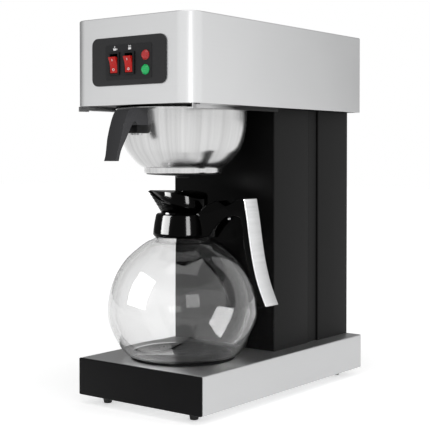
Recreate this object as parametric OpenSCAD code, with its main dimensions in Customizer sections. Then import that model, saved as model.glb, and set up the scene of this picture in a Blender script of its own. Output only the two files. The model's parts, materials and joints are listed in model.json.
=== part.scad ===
// Drip coffee maker: pour-over brewer with one warmer, a slide-in brew basket and a glass decanter.
// Millimetres, +Z up, front toward -Y, decanter handle toward +X.
// Every module first works in the machine frame (X = 0 on the brew axis, Y = 0 on the rear plane),
// then put() moves it so that the whole object stands on the middle of its own footprint.

/* [Base] */
// Width of the base pan
base_w = 178; // [170:1:190]
// Depth of the base pan with its front plate
base_d = 336; // [330:1:345]
// Height of the base pan
base_h = 42; // [36:1:50]
// Height of the rubber feet
foot_h = 10; // [8:1:16]
// Top radius of a foot
foot_r = 6.5; // [6:0.5:9]
// Distance of the feet from the middle plane
foot_x = 63.5; // [55:0.5:70]
// Thickness of the black front plate
front_plate_t = 4; // [2:0.5:6]
// Radius of the warmer plate
warmer_r = 60; // [54:1:66]

/* [Column] */
// Left face of the column
col_left = -85; // [-86:0.5:-75]
// Right face of the column
col_right = 67.5; // [62:0.5:85]
// Depth of the column
col_d = 169; // [160:1:172]
// Front edge of the side groove, measured from the rear
groove_front = 95; // [90:1:105]
// Rear edge of the side groove, measured from the rear
groove_rear = 72; // [62:1:80]
// Depth of the side groove
groove_t = 3; // [2:0.5:5]

/* [Head] */
// Width of the head
head_w = 172; // [170:1:180]
// Depth of the head
head_d = 348; // [344:1:352]
// Height of the head
head_h = 96; // [90:1:104]
// Height of the clear bay between base and head
bay_h = 287; // [285:1:292]
// Radius of the two front corners
head_r = 20; // [14:1:26]
// Sheet thickness of pan, covers and housing
sheet = 1.2; // [0.8:0.1:1.6]

/* [Control panel] */
// Half width of the panel plate
panel_hw = 53; // [50:1:60]
// Height of the panel plate
panel_h = 52.5; // [50:0.5:58]
// Panel thickness
panel_t = 2.5; // [2:0.5:4]
// Thickness of the raised inlay
inlay_t = 0.5; // [0.4:0.1:1]
// Centre of the brew switch
brew_x = -18; // [-22:0.5:-17]
// Centre of the warmer switch
warm_x = 3.8; // [3:0.1:8]
// Centre of the two lamps
lamp_x = 26.5; // [24:0.5:29]
// Rocker tilt either side of level
rock_a = 12; // [8:1:14]

/* [Brew basket] */
// Distance of the brew axis from the rear
axis_d = 256; // [252:1:258]
// Rim radius of the basket flange
rim_r = 77.2; // [76.5:0.1:77.4]
// Sheet thickness of the bowl
bowl_t = 1; // [0.8:0.1:1.4]
// Width of the handle at its top
grip_w = 20; // [16:1:24]

/* [Decanter] */
// Wall of the glass
glass_t = 2.2; // [1.6:0.1:3]
// Width of the steel strip on the handle
strip_w = 23; // [20:1:26]
// Thickness of the steel strip
strip_t = 1.8; // [1:0.1:2.5]

/* [Hidden] */
ay = -axis_d;
zb = foot_h;
zt = foot_h + base_h;
zh = zt + bay_h;
zz = zh + head_h;
pf = -head_d - panel_t;
inf = pf - inlay_t;
pz0 = zh + 21;
sw_z = zh + 44.6;
piv_y = inf + 3.5;
lamp_z1 = zh + 52;
lamp_z2 = zh + 36.5;
tank_x = (col_left + col_right) / 2;
tank_y = -col_d / 2;
tank_r = 60;
tank_z = zt + 18;
tank_top = zh - 14;
fill_x = tank_x + 20;
pin_y = -43;
pin_z = zz + 2.7;
gland_x = -60;
gland_z = foot_h + 20;
nose = 9;
rail_h = 4.5;
rail_x = 77.8;
rail_front = -330;
rail_back = -178;
tube_y = -128;
element_x = tank_x - 20;
bolt_r = 1.8;
lamp_r = 4;
switch_hw = 7;
switch_hh = 11.6;
basin_hw = 48;
basin_h = 35;
tip_y = -379;
grip_out = 125;
shift_x = (base_w / 2 - grip_out) / 2;
shift_y = -(tip_y + nose) / 2;

// A smooth curve through the marks p, with n steps between two of them.
function bend(a, b, c, d, t) =
    0.5 * (2 * b + (c - a) * t + (2 * a - 5 * b + 4 * c - d) * t * t + (3 * b - a - 3 * c + d) * t * t * t);
function through(p, n) = [for (i = [0:len(p) - 2]) for (k = [0:n - 1])
    bend(p[max(i - 1, 0)], p[i], p[i + 1], p[min(i + 2, len(p) - 1)], k / n), p[len(p) - 1]];

// The same outline moved inward by t, listed backward so that the two make a wall.
function along(p, i) = p[min(i + 1, len(p) - 1)] - p[max(i - 1, 0)];
function inner(p, t) = [for (i = [len(p) - 1:-1:0]) p[i] + t * [-along(p, i)[1], along(p,
    i)[0]] / norm(along(p, i))];

module put() {
    translate([shift_x, shift_y, 0]) children();
}

// A cylinder along Y, from y0 to y1.
module ycyl(x, z, y0, y1, r, f = 48) {
    translate([x, y1, z]) rotate([90, 0, 0]) cylinder(r = r, h = y1 - y0, $fn = f);
}

// A cylinder along X, from x0 to x1.
module xcyl(y, z, x0, x1, r, f = 48) {
    translate([x0, y, z]) rotate([0, 90, 0]) cylinder(r = r, h = x1 - x0, $fn = f);
}

// A side profile in (y, z), extruded along X from x0 to x1.
module side(x0, x1) {
    translate([x0, 0, 0]) rotate([90, 0, 90]) linear_extrude(height = x1 - x0) children();
}

// A front profile in (x, z), extruded along Y from y0 to y1.
module front(y0, y1) {
    translate([0, y1, 0]) rotate([90, 0, 0]) linear_extrude(height = y1 - y0) children();
}

// Block given by its two opposite corners.
module blk(a, b) {
    translate(a) cube(b - a);
}

// ---- base ----

module base_pan() {
    color("silver") put() difference() {
        blk([-base_w / 2, -base_d + front_plate_t, zb], [base_w / 2, 0, zt]);
        blk([-base_w / 2 + sheet, -base_d + front_plate_t + sheet, zb - 1],
            [base_w / 2 - sheet, -sheet, zt - sheet]);
        translate([0, ay, zt - 5]) cylinder(r = 50, h = 10, $fn = 96);
        ycyl(gland_x, gland_z, -5, 5, 7);
    }
}

module base_front_plate() {
    color("black") put() blk([-base_w / 2, -base_d, zb], [base_w / 2, -base_d + front_plate_t, zt]);
}

module base_bottom_plate() {
    color("dimgray") put()
        blk([-base_w / 2 + sheet, -base_d + front_plate_t + sheet, zb],
            [base_w / 2 - sheet, -sheet, zb + sheet]);
}

module feet() {
    color([0.08, 0.08, 0.08]) put()
        for (sx = [-1, 1])
            for (fy = [-315, -22])
                translate([sx * foot_x, fy, 0]) cylinder(r1 = foot_r - 2, r2 = foot_r, h = foot_h,
                    $fn = 48);
}

module warmer_plate() {
    color([0.12, 0.12, 0.12]) put() translate([0, ay, 0]) rotate_extrude($fn = 96)
        polygon([[0, zt], [warmer_r, zt], [warmer_r, zt + 1.6], [warmer_r - 1, zt + 2.5], [0, zt + 2.5]]);
}

module warmer_element() {
    color("gray") put() {
        translate([0, ay, zt - 7]) difference() {
            cylinder(r = 42, h = 7, $fn = 96);
            translate([0, 0, -1]) cylinder(r = 32, h = 9, $fn = 96);
        }
        for (s = [-1, 1]) blk([s * 9 - 3, ay + 41, zt - 5], [s * 9 + 3, ay + 56, zt - 4]);
    }
}

module warmer_strap() {
    color("silver") put() {
        blk([-57, ay - 8, zt - 9], [57, ay + 8, zt - 7]);
        for (s = [-1, 1]) translate([s * 54, ay, zt - 7]) cylinder(r = 3, h = 7 - sheet, $fn = 32);
    }
}

module warmer_thermostat() {
    color("ivory") put() translate([0, ay, zt - 7]) cylinder(r = 9, h = 7, $fn = 48);
}

module terminal_block() {
    color("ivory") put() difference() {
        blk([-62, -62, zb + sheet], [-22, -40, zb + sheet + 18]);
        for (i = [0:3]) translate([-57 + i * 10, -51, zb + sheet + 8]) cylinder(r = 3, h = 12, $fn = 32);
    }
}

module cord_gland() {
    color([0.06, 0.06, 0.06]) put() difference() {
        union() {
            ycyl(gland_x, gland_z, -sheet, 1, 7);
            ycyl(gland_x, gland_z, 0, 3, 10);
            ycyl(gland_x, gland_z, 3, nose, 6.5);
            ycyl(gland_x, gland_z, -6, -sheet, 9.5, 6);
        }
        ycyl(gland_x, gland_z, -10, nose + 1, 4.2);
    }
}

// ---- column ----

module column_front_cover() {
    color([0.1, 0.1, 0.1]) put() {
        translate([0, 0, zt]) linear_extrude(height = bay_h) union() {
            translate([col_left, -col_d]) square([col_right - col_left, sheet]);
            translate([col_left, -col_d]) square([sheet, col_d - groove_front]);
            translate([col_right - sheet, -col_d]) square([sheet, col_d - groove_front]);
            translate([col_left, -groove_front - sheet]) square([6, sheet]);
            translate([col_right - 6, -groove_front - sheet]) square([6, sheet]);
        }
    }
}

module column_rear_cover() {
    color([0.1, 0.1, 0.1]) put() difference() {
        translate([0, 0, zt]) linear_extrude(height = bay_h) union() {
            translate([col_left, -sheet]) square([col_right - col_left, sheet]);
            translate([col_left, -groove_rear]) square([sheet, groove_rear]);
            translate([col_right - sheet, -groove_rear]) square([sheet, groove_rear]);
            translate([col_left, -groove_rear]) square([6, sheet]);
            translate([col_right - 6, -groove_rear]) square([6, sheet]);
        }
        for (sx = [col_left + 10, col_right - 10])
            for (z = [zt + 20, zh - 20]) ycyl(sx, z, -5, 5, bolt_r, 32);
    }
}

module column_side_strips() {
    color([0.07, 0.07, 0.07]) put() {
        blk([col_left + groove_t, -groove_front, zt], [col_left + groove_t + sheet, -groove_rear, zh]);
        blk([col_right - groove_t - sheet, -groove_front, zt], [col_right - groove_t, -groove_rear, zh]);
    }
}

module cover_screws() {
    color("silver") put()
        for (sx = [col_left + 10, col_right - 10])
            for (z = [zt + 20, zh - 20]) {
                ycyl(sx, z, 0, 2, 3.4, 32);
                ycyl(sx, z, -7, 0, bolt_r, 32);
            }
}

// ---- water way ----

module boiler_cradle() {
    color("gray") put() translate([tank_x, tank_y, zt]) difference() {
        cylinder(r = 58, h = tank_z - zt, $fn = 96);
        translate([0, 0, -1]) cylinder(r = 56, h = tank_z - zt + 2, $fn = 96);
    }
}

module boiler_tank() {
    color("silver") put() translate([tank_x, tank_y, 0]) rotate_extrude($fn = 96)
        polygon([[0, tank_z], [tank_r, tank_z], [tank_r, tank_top], [tank_r - 1.5, tank_top],
            [tank_r - 1.5, tank_z + 1.5], [0, tank_z + 1.5]]);
}

module boiler_lid() {
    color("silver") put() difference() {
        translate([tank_x, tank_y, tank_top]) cylinder(r = 63, h = 4, $fn = 96);
        translate([fill_x, tank_y, tank_top - 1]) cylinder(r = 8, h = 6, $fn = 48);
        translate([0, tube_y, tank_top - 1]) cylinder(r = 5, h = 6, $fn = 48);
        for (s = [-1, 1]) translate([element_x + s * 14, tank_y, tank_top - 1]) cylinder(r = 4, h = 6,
            $fn = 32);
        translate([tank_x, tank_y + 35, tank_top - 1]) cylinder(r = 4, h = 6, $fn = 32);
    }
}

module boiler_element() {
    color("gray") put() {
        for (s = [-1, 1]) translate([element_x + s * 14, tank_y, tank_z + 20]) {
            cylinder(r = 4, h = tank_top - tank_z - 8, $fn = 32);
            sphere(r = 4, $fn = 32);
        }
        xcyl(tank_y, tank_z + 20, element_x - 14, element_x + 14, 4, 32);
    }
}

module boiler_thermostat() {
    color("peru") put() translate([tank_x, tank_y + 35, tank_top - 90]) cylinder(r = 4, h = 102, $fn = 32);
}

module inlet_tube() {
    color("white") put() translate([fill_x, tank_y, tank_z + 12]) difference() {
        cylinder(r = 8, h = zz - 33.8 - tank_z - 12, $fn = 48);
        translate([0, 0, -1]) cylinder(r = 6.5, h = zz - 31 - tank_z - 12, $fn = 48);
    }
}

module tube_run(r, e) {
    translate([0, tube_y, tank_top - e]) cylinder(r = r, h = zh + 13 - tank_top + e, $fn = 32);
    translate([0, tube_y, zh + 13]) sphere(r = r, $fn = 32);
    ycyl(0, zh + 13, ay, tube_y, r, 32);
    translate([0, ay, zh + 13]) sphere(r = r, $fn = 32);
    translate([0, ay, zh + 7 - e]) cylinder(r = r, h = 6 + e, $fn = 32);
}

module outlet_tube() {
    color("white") put() difference() {
        tube_run(5, 0);
        tube_run(3.6, 1);
    }
}

module spray_head() {
    color([0.9, 0.9, 0.88]) put() difference() {
        translate([0, ay, 0]) rotate_extrude($fn = 72)
            polygon([[0, zh - 1], [28, zh - 1], [28, zh + sheet], [34, zh + sheet], [34, zh + 2.4],
                [8, zh + 2.4], [8, zh + 7], [3.6, zh + 7], [3.6, zh + 1.4], [25, zh + 1.4],
                [25, zh + 0.2], [0, zh + 0.2]]);
        for (i = [0:7])
            translate([18 * cos(i * 45), ay + 18 * sin(i * 45), zh - 4]) cylinder(r = 1.5, h = 4, $fn = 24);
        translate([0, ay, zh - 4]) cylinder(r = 1.5, h = 4, $fn = 24);
    }
}

// ---- head ----

module head_plan(i) {
    translate([-head_w / 2 + i, -head_d + head_r]) square([head_w - 2 * i, head_d - head_r - i]);
    translate([-head_w / 2 + head_r, -head_d + i]) square([head_w - 2 * head_r, head_r]);
    for (s = [-1, 1]) translate([s * (head_w / 2 - head_r), -head_d + head_r]) circle(r = head_r - i,
        $fn = 64);
}

module panel_holes(y0, y1) {
    for (x = [brew_x, warm_x]) blk([x - switch_hw, y0, sw_z - switch_hh],
        [x + switch_hw, y1, sw_z + switch_hh]);
    for (z = [lamp_z1, lamp_z2]) ycyl(lamp_x, z, y0, y1, lamp_r, 32);
}

module head_housing() {
    color("silver") put() difference() {
        translate([0, 0, zh]) linear_extrude(height = head_h) head_plan(0);
        translate([0, 0, zh - 1]) linear_extrude(height = head_h + 1 - sheet) head_plan(sheet);
        blk([-44, -116, zz - 5], [44, -49, zz + 5]);
        panel_holes(-head_d - 2, -head_d + 4);
    }
}

module head_bottom_pan() {
    color([0.1, 0.1, 0.1]) put() difference() {
        translate([0, 0, zh]) linear_extrude(height = sheet) head_plan(sheet);
        translate([tank_x, tank_y, zh - 2]) cylinder(r = 66, h = 6, $fn = 96);
        translate([0, ay, zh - 2]) cylinder(r = 28, h = 6, $fn = 72);
    }
}

// Top flange against the head, web, the lip that carries the basket flange, and the flared front end.
module rail() {
    blk([rail_x, rail_front, zh - sheet], [rail_x + 6.2, rail_back, zh]);
    blk([rail_x, rail_front, zh - rail_h], [rail_x + 1.2, rail_back, zh]);
    blk([rail_x - 3.5, rail_front, zh - rail_h], [rail_x + 0.1, rail_back, zh - rail_h + 1.2]);
    translate([0, 0, zh - rail_h - 1]) linear_extrude(height = rail_h + 1)
        polygon([[rail_x, rail_front], [rail_x + 1.2, rail_front], [rail_x + 5.4, rail_front - 11],
            [rail_x + 4.4, rail_front - 11.5]]);
}

module basket_rails() {
    color("silver") put() {
        rail();
        mirror([1, 0, 0]) rail();
    }
}

module fill_basin() {
    color("silver") put() difference() {
        blk([-basin_hw, -120, zz - basin_h], [basin_hw, -45, zz - sheet]);
        blk([-basin_hw + sheet, -120 + sheet, zz - basin_h + sheet],
            [basin_hw - sheet, -45 - sheet, zz + 1]);
        translate([fill_x, tank_y, zz - 40]) cylinder(r = 8, h = 10, $fn = 48);
    }
}

module basin_strainer() {
    color("silver") put() translate([fill_x, tank_y, zz - basin_h + sheet]) difference() {
        cylinder(r = 16, h = 1.2, $fn = 48);
        for (i = [0:5]) translate([5 * cos(i * 60), 5 * sin(i * 60), -1]) cylinder(r = 1.4, h = 4,
            $fn = 24);
        translate([0, 0, -1]) cylinder(r = 1.4, h = 4, $fn = 24);
    }
}

module lid_hinge_bracket() {
    color("silver") put() difference() {
        union() {
            blk([-11.5, pin_y, zz], [11.5, pin_y + 14, zz + 1]);
            blk([-11.5, pin_y - 1, zz], [11.5, pin_y + 2.2, zz + 2.7]);
            xcyl(pin_y, pin_z, -11.5, 11.5, 2.2, 32);
        }
        xcyl(pin_y, pin_z, -15, 15, 1.2, 32);
    }
}

module lid_hinge_pin() {
    color("gray") put() xcyl(pin_y, pin_z, -32, 32, 1.2, 32);
}

module fill_lid() {
    color("silver") put() difference() {
        union() {
            blk([-50, -122, zz + 0.4], [50, pin_y - 3.4, zz + 2]);
            blk([-16, -122, zz + 0.4], [16, -118, zz + 4.6]);
            for (s = [-1, 1]) {
                blk([s * 21.5 - 9.5, pin_y - 4, zz + 0.6], [s * 21.5 + 9.5, pin_y, zz + 2]);
                xcyl(pin_y, pin_z, s * 21.5 - 9.5, s * 21.5 + 9.5, 2.2, 32);
            }
        }
        xcyl(pin_y, pin_z, -40, 40, 1.26, 32);
    }
}

// ---- control panel ----

module round_rect(x0, z0, x1, z1, r) {
    translate([x0 + r, z0]) square([x1 - x0 - 2 * r, z1 - z0]);
    translate([x0, z0 + r]) square([x1 - x0, z1 - z0 - 2 * r]);
    for (x = [x0 + r, x1 - r]) for (z = [z0 + r, z1 - r]) translate([x, z]) circle(r = r, $fn = 32);
}

module panel_plate() {
    color([0.12, 0.12, 0.12]) put() difference() {
        front(pf, -head_d) round_rect(-panel_hw, pz0, panel_hw, pz0 + panel_h, 8);
        panel_holes(pf - 2, -head_d + 2);
    }
}

module panel_inlay() {
    color([0.16, 0.16, 0.16]) put() difference() {
        front(inf, pf) round_rect(-32, zh + 27, 35, zh + 65, 2);
        panel_holes(inf - 2, pf + 2);
    }
}

// White pictograms: a drop over a pot, and a cup with steam.
module panel_marks() {
    color("white") put() front(inf - 0.2, inf) {
        translate([brew_x, zh + 59]) {
            polygon([[-1.8, 0], [1.8, 0], [2.4, 2.2], [-2.4, 2.2]]);
            polygon([[2.5, 0.4], [3.6, 0.4], [3.6, 2.2], [3, 2.2], [3, 1], [2.5, 1]]);
            polygon([[0, 5], [0.7, 3.6], [0, 2.8], [-0.7, 3.6]]);
        }
        translate([warm_x, zh + 59]) {
            polygon([[-2, 0], [2, 0], [2, 2.2], [-2, 2.2]]);
            for (i = [-1:1]) translate([i * 1.4 - 0.25, 2.8]) square([0.5, 1.8]);
        }
    }
}

module switch_body(x) {
    translate([x, 0, sw_z]) difference() {
        union() {
            blk([-switch_hw, inf, -switch_hh], [switch_hw, -head_d + 18, switch_hh]);
            front(inf - 2, inf) round_rect(-7.6, -12.4, 7.6, 12.4, 1);
            for (s = [-1, 1]) blk([-3, -head_d + 18, s * 6 - 0.4], [3, -head_d + 26, s * 6 + 0.4]);
        }
        blk([-5.5, inf - 5, -10.6], [5.5, -head_d + 12, 10.6]);
        xcyl(piv_y, 0, -6.3, 6.3, 1.55, 32);
    }
}

module switch_bodies() {
    color([0.05, 0.05, 0.05]) put() {
        switch_body(brew_x);
        switch_body(warm_x);
    }
}

// Rest is off: the lower half of the rocker is pressed in.
module rocker(x) {
    translate([x, piv_y, sw_z]) rotate([rock_a, 0, 0]) {
        side(-5.1, 5.1) polygon([[-7.7, 8.7], [-7.3, 7], [-6.5, 3], [-6.3, 0], [-6.5, -3], [-7.3, -7],
            [-7.7, -8.7],
            [-6.6, -9], [1, -6.5], [3, 0], [1, 6.5], [-6.6, 9]]);
        xcyl(0, 0, -6.2, 6.2, 1.5, 32);
    }
}

module rocker_brew() {
    color("red") put() rocker(brew_x);
}

module rocker_warm() {
    color("red") put() rocker(warm_x);
}

module lamp(z) {
    ycyl(lamp_x, z, inf, -head_d + 14, lamp_r, 32);
    translate([lamp_x, inf, z]) rotate([90, 0, 0]) rotate_extrude($fn = 48)
        polygon([[0, 0], [5.4, 0], [5.4, 1], [4.6, 1.4], [4.2, 2.3], [3.4, 3.1], [2.2, 3.7], [1, 4],
            [0, 4.05]]);
}

module lamp_red() {
    color("red") put() lamp(lamp_z1);
}

module lamp_green() {
    color("green") put() lamp(lamp_z2);
}

// ---- brew basket ----

rim_z = zh - 1.7;
band_r = 44.5;
band_z = zh - 75.4;
bowl_line = through([[73.8, zh - 2.9], [73.1, zh - 18], [70.6, zh - 34], [66.2, zh - 47], [60.5, zh - 55],
    [53.5, zh - 63], [47.2, zh - 68.2]], 4);

module basket_bowl() {
    color("silver") put() translate([0, ay, 0]) rotate_extrude($fn = 96)
        polygon(concat([[rim_r, rim_z], [rim_r, rim_z - 1.2]], bowl_line, [[band_r, zh - 69],
            [band_r, band_z],
            [4, band_z], [4, band_z + bowl_t], [band_r - bowl_t, band_z + bowl_t],
                [band_r - bowl_t, zh - 68.2]],
            [for (p = inner(bowl_line, -bowl_t)) [p[0], min(p[1], rim_z)]], [[73, rim_z]]));
}

module bowl_solid() {
    translate([0, ay, 0]) rotate_extrude($fn = 96)
        polygon(concat([[0, rim_z], [73.8, rim_z]], bowl_line, [[0, zh - 68.2]]));
}

module basket_base() {
    color([0.08, 0.08, 0.08]) put() translate([0, ay, 0]) rotate_extrude($fn = 96)
        polygon([[4, band_z], [42, band_z], [40, band_z - 1.4], [22, band_z - 2.8], [9, band_z - 3.1],
            [7.5, band_z - 5.6], [4, band_z - 5.6]]);
}

module filter_rack() {
    color("gray") put() translate([0, ay, band_z + bowl_t]) {
        difference() {
            cylinder(r = 41, h = 2, $fn = 72);
            translate([0, 0, -1]) cylinder(r = 38.5, h = 4, $fn = 72);
        }
        difference() {
            union() for (i = [0:3]) rotate([0, 0, i * 45]) translate([-39.5, -1, 0]) cube([79, 2, 2]);
            translate([0, 0, -1]) cylinder(r = 8, h = 4, $fn = 32);
        }
        difference() {
            cylinder(r = 10, h = 2, $fn = 32);
            translate([0, 0, -1]) cylinder(r = 8, h = 4, $fn = 32);
        }
    }
}

bolt_y = -336.5;
seat_z = zh - 22.2;
block_z = zh - 30.8;

module basket_bracket() {
    color([0.08, 0.08, 0.08]) put() difference() {
        blk([-9, -345.2, block_z], [9, -316, seat_z]);
        bowl_solid();
        for (s = [-1, 1]) translate([s * 4.5, bolt_y, block_z - 5]) cylinder(r = bolt_r, h = 20, $fn = 24);
    }
}

blade_front = through([[-343, zh - 3], [-354, zh - 4], [-361.5, zh - 10], [-367.3, zh - 22.7],
    [-372.2, zh - 38.6],
    [-376.1, zh - 54.5], [tip_y, zh - 61]], 3);
blade_back = through([[-373, zh - 61], [-370.4, zh - 50], [-364.4, zh - 38.6], [-356.4, zh - 25.6],
    [-351.5, zh - 19.2], [-347.5, zh - 19.2], [-345.2, seat_z]], 3);

module basket_handle() {
    color([0.06, 0.06, 0.06]) put() difference() {
        intersection() {
            side(-15, 15) polygon(concat([[-325, zh - 3]], blade_front, blade_back, [[-325, seat_z]]));
            front(-400, -320) polygon([[-grip_w / 2, zh - 2], [-grip_w / 2, zh - 24], [-8, zh - 70],
                [8, zh - 70],
                [grip_w / 2, zh - 24], [grip_w / 2, zh - 2]]);
        }
        bowl_solid();
        for (s = [-1, 1]) translate([s * 4.5, bolt_y, seat_z - 5]) cylinder(r = bolt_r, h = 11, $fn = 24);
    }
}

module basket_screws() {
    color("silver") put() for (s = [-1, 1]) translate([s * 4.5, bolt_y, 0]) {
        translate([0, 0, block_z - 2]) cylinder(r = 3.2, h = 2, $fn = 32);
        translate([0, 0, block_z]) cylinder(r = bolt_r, h = 14, $fn = 24);
    }
}

// ---- decanter ----

g0 = zt + 2.8;
neck_r = 27.5;
mouth_z = g0 + 160.7;
glass_line = concat(through([[60, g0], [67, g0 + 3.2], [74, g0 + 13], [81.5, g0 + 27.2], [86.2, g0 + 42],
    [86.6, g0 + 56], [83.6, g0 + 75.2], [76.8, g0 + 93], [66.1, g0 + 109.2], [53.5, g0 + 121],
        [41.8, g0 + 129.7],
    [33.1, g0 + 133.7], [29, g0 + 138.6], [neck_r, g0 + 144.6]], 4), [[neck_r, mouth_z]]);

module carafe_glass() {
    color([0.85, 0.92, 0.95, 0.4]) put() translate([0, ay, 0]) rotate_extrude($fn = 96)
        polygon(concat([[0, g0]], glass_line,
            [for (p = inner(glass_line, glass_t)) [max(p[0], 0), max(p[1], g0 + glass_t)]],
                [[0, g0 + glass_t]]));
}

neck_top = g0 + 162.7;
neck_in = neck_r - glass_t - 0.8;
collar_line = through([[32.4, g0 + 135.8], [34.4, g0 + 138.2], [34.5, g0 + 141.4], [33.4, g0 + 150],
    [31.6, g0 + 159],
    [29.5, neck_top]], 3);

module carafe_collar() {
    color([0.05, 0.05, 0.05]) put() translate([0, ay, 0]) rotate_extrude($fn = 96)
        polygon(concat([[neck_r, mouth_z], [neck_r, g0 + 145], [30, g0 + 140],
            [31.9, g0 + 136.4]], collar_line,
            [[neck_in, neck_top], [neck_in, mouth_z]]));
}

// Drop-shaped plan: a round part of radius r, drawn out to a spout of radius k.
spout_x = -46.5;
module drop(r, k) {
    lean = (r - k) / spout_x;
    n = [lean, sqrt(1 - lean * lean)];
    m = [n[0], -n[1]];
    circle(r = r, $fn = 64);
    translate([spout_x, 0]) circle(r = k, $fn = 24);
    polygon([r * n, [spout_x, 0] + k * n, [spout_x, 0] + k * m, r * m]);
}

// The rim of the lip leans down toward the handle.
lip_z = g0 + 174.6;
lip_lean = 13.2;
module lip_mouth(dz, r, k, h) {
    translate([0, 0, lip_z + dz]) rotate([0, lip_lean, 0]) linear_extrude(height = h) hull() {
        circle(r = r, $fn = 64);
        translate([spout_x, 0]) circle(r = k, $fn = 24);
    }
}

module pouring_lip() {
    color([0.05, 0.05, 0.05]) put() translate([0, ay, 0]) difference() {
        hull() {
            translate([0, 0, neck_top]) cylinder(r = 25.8, h = 2.5, $fn = 64);
            lip_mouth(0, 31.6, 6.4, 1);
        }
        hull() {
            translate([0, 0, neck_top - 0.5]) cylinder(r = neck_in, h = 3, $fn = 64);
            lip_mouth(-0.4, 29.8, 4.6, 3);
        }
        translate([0, 0, neck_top - 2]) cylinder(r = neck_in, h = 4.4, $fn = 64);
    }
}

// Plug in the neck, a tube that leads the coffee down, and a raised cover that stands on the lip's rim.
cover_z = g0 + 188.2;
plug_z = g0 + 156;
hole_r = 6;
module carafe_lid() {
    color([0.07, 0.07, 0.07]) put() translate([0, ay, 0]) difference() {
        union() {
            rotate_extrude($fn = 72) polygon([[hole_r, plug_z], [neck_r - glass_t, plug_z],
                [neck_r - glass_t, mouth_z],
                [neck_in, mouth_z], [neck_in, neck_top + 1.6], [neck_in - 1.5, neck_top + 1.6],
                [neck_in - 2, plug_z + 3], [8, plug_z + 3], [8, cover_z - 1], [hole_r, cover_z - 1]]);
            intersection() {
                difference() {
                    translate([0, 0, plug_z]) linear_extrude(height = 80) drop(28.6, 3.6);
                    translate([0, 0, plug_z]) linear_extrude(height = cover_z - 2 - plug_z) drop(27, 2);
                }
                front(-40, 40) polygon([[-56, cover_z - 0.1], [-40, cover_z - 3.7], [40, cover_z - 22.5],
                    [40, cover_z - 15], [29, cover_z - 9], [24, cover_z - 6], [19, cover_z - 3],
                        [12, cover_z],
                    [-56, cover_z]]);
            }
            intersection() {
                translate([0, 0, plug_z]) linear_extrude(height = 80) drop(28, 3);
                front(-40, 40) polygon([[11, cover_z - 2], [18, cover_z - 4.8], [23, cover_z - 7.8],
                    [28, cover_z - 10.8], [31, cover_z - 12.5], [31, cover_z - 10], [29, cover_z - 9],
                    [24, cover_z - 6], [19, cover_z - 3], [12, cover_z]]);
            }
        }
        translate([0, 0, plug_z - 1]) cylinder(r = hole_r, h = 60, $fn = 48);
        for (a = [90, 180, 270]) rotate([0, 0, a]) translate([15.5, 0, plug_z - 1]) cylinder(r = 4,
            h = 6, $fn = 32);
    }
}

grip_line = through([[96, zt + 184.5], [98, zt + 174], [100.5, zt + 160], [103.4, zt + 141],
    [108, zt + 116.2],
    [114.8, zt + 92.5], [grip_out, zt + 69.5]], 3);
thumb_line = through([[30, zt + 169], [38, zt + 175], [47, zt + 178.6], [55.5, zt + 181.6],
    [61, zt + 178.6],
    [67, zt + 176.4], [74, zt + 178.4], [82, zt + 182.4], [90, zt + 184.3]], 3);
palm_line = through([[112.5, zt + 70.5], [104, zt + 92.5], [97, zt + 116.2], [92.6, zt + 137],
    [91.4, zt + 152],
    [88.4, zt + 162], [80, zt + 164.9], [71, zt + 163.6], [62, zt + 159], [53.5, zt + 151.5],
        [48, zt + 145],
    [44, zt + 139.6]], 3);

// The screw of the handle sits in a counterbore in the dip behind the thumb rest.
screw_x = 66;
screw_z = zt + 174.6;

module carafe_handle() {
    color([0.05, 0.05, 0.05]) put() translate([0, ay, 0]) difference() {
        front(-10, 10) polygon(concat([[20, zt + 164]], thumb_line, [for (p = grip_line) p - [strip_t, 0]],
            [[115.5, zt + 68]], palm_line, [[20, zt + 139.6]]));
        rotate_extrude($fn = 96)
            polygon(concat([[0, zt + 100], [32.4, zt + 100]], collar_line,
                [[29.5, neck_top + 1], [33.2, neck_top + 14], [33.2, zt + 200], [0, zt + 200]]));
        translate([screw_x, 0, zt + 160]) cylinder(r = bolt_r, h = 30, $fn = 24);
        translate([screw_x, 0, screw_z]) cylinder(r = 3.7, h = 10, $fn = 32);
    }
}

module handle_strip() {
    color("silver") put() translate([0, ay, 0]) front(-strip_w / 2, strip_w / 2)
        polygon(concat(grip_line, [for (i = [len(grip_line) - 1:-1:0]) grip_line[i] - [strip_t, 0]]));
}

module handle_screw() {
    color("silver") put() translate([screw_x, ay, screw_z]) {
        cylinder(r = 3.4, h = 1.6, $fn = 32);
        translate([0, 0, -14]) cylinder(r = bolt_r, h = 14, $fn = 24);
    }
}

base_pan();
base_front_plate();
base_bottom_plate();
feet();
warmer_plate();
warmer_element();
warmer_strap();
warmer_thermostat();
terminal_block();
cord_gland();
column_front_cover();
column_rear_cover();
column_side_strips();
boiler_cradle();
boiler_tank();
boiler_lid();
boiler_element();
boiler_thermostat();
inlet_tube();
outlet_tube();
spray_head();
head_housing();
head_bottom_pan();
basket_rails();
fill_basin();
basin_strainer();
lid_hinge_bracket();
lid_hinge_pin();
fill_lid();
panel_plate();
panel_inlay();
panel_marks();
switch_bodies();
rocker_brew();
rocker_warm();
lamp_red();
lamp_green();
cover_screws();
basket_bowl();
basket_base();
filter_rack();
basket_bracket();
basket_handle();
basket_screws();
carafe_glass();
carafe_collar();
pouring_lip();
carafe_lid();
carafe_handle();
handle_strip();
handle_screw();
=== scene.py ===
import json
import math
import bpy
from mathutils import Matrix, Vector


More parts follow.
